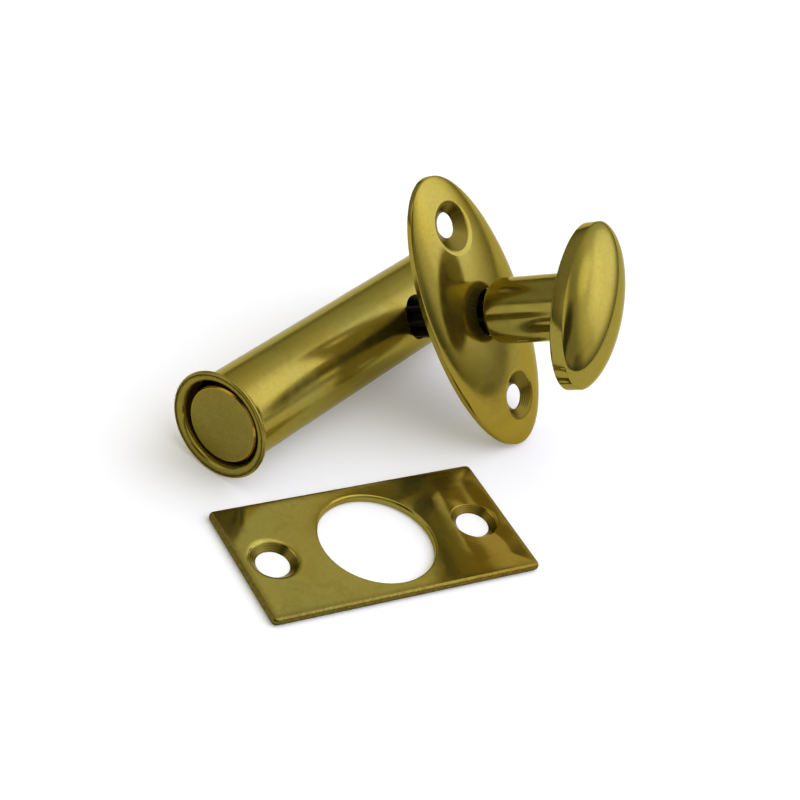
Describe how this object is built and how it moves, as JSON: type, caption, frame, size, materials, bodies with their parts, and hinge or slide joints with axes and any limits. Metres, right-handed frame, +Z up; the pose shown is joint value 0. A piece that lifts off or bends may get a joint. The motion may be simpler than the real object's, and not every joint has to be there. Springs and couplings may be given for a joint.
{
  "type": "mortise bolt",
  "caption": "Mortise bolt: a round barrel whose bolt is thrown by a rack and a star spindle from an oval thumb turn, with a domed oval rose and a flat strike plate.",
  "frame": {"origin": "middle of the footprint, on the ground that the bolt rests on and the strike plate lies on", "axes": "+Z up out of the lying strike plate, -Y the way the bolt is thrown, +X from the barrel towards the thumb turn"},
  "size_m": [0.0628, 0.0872, 0.0459],
  "materials": {
    "polished_brass": "polished",
    "satin_brass": "satin",
    "black_steel": "blackened",
    "plain_steel": "plain"
  },
  "bodies": {
    "case": {"barrel_tube": "polished_brass", "barrel_cap": "satin_brass", "guide_pin": "plain_steel", "rose": "polished_brass", "strike_plate": "polished_brass"},
    "turn": {"spindle": "black_steel", "turn_shank": "polished_brass", "turn_knob": "polished_brass"},
    "bolt": {"bolt": "satin_brass"}
  },
  "joints": [
    {"name": "turn_spin", "type": "hinge", "parent": "case", "child": "turn", "pos_m": [-0.02082, 0.02526, 0.00927], "axis": [-0.7993, -0.0054, -0.6009], "range_deg": [0, 219.9]},
    {"name": "bolt_throw", "type": "slide", "parent": "case", "child": "bolt", "axis": [0, -1, 0.0089], "range_m": [0, 0.0127]}
  ],
  "couplings": [
    {"joint": "turn_spin", "follows": "bolt_throw", "rad_per_m": 302.11}
  ]
}
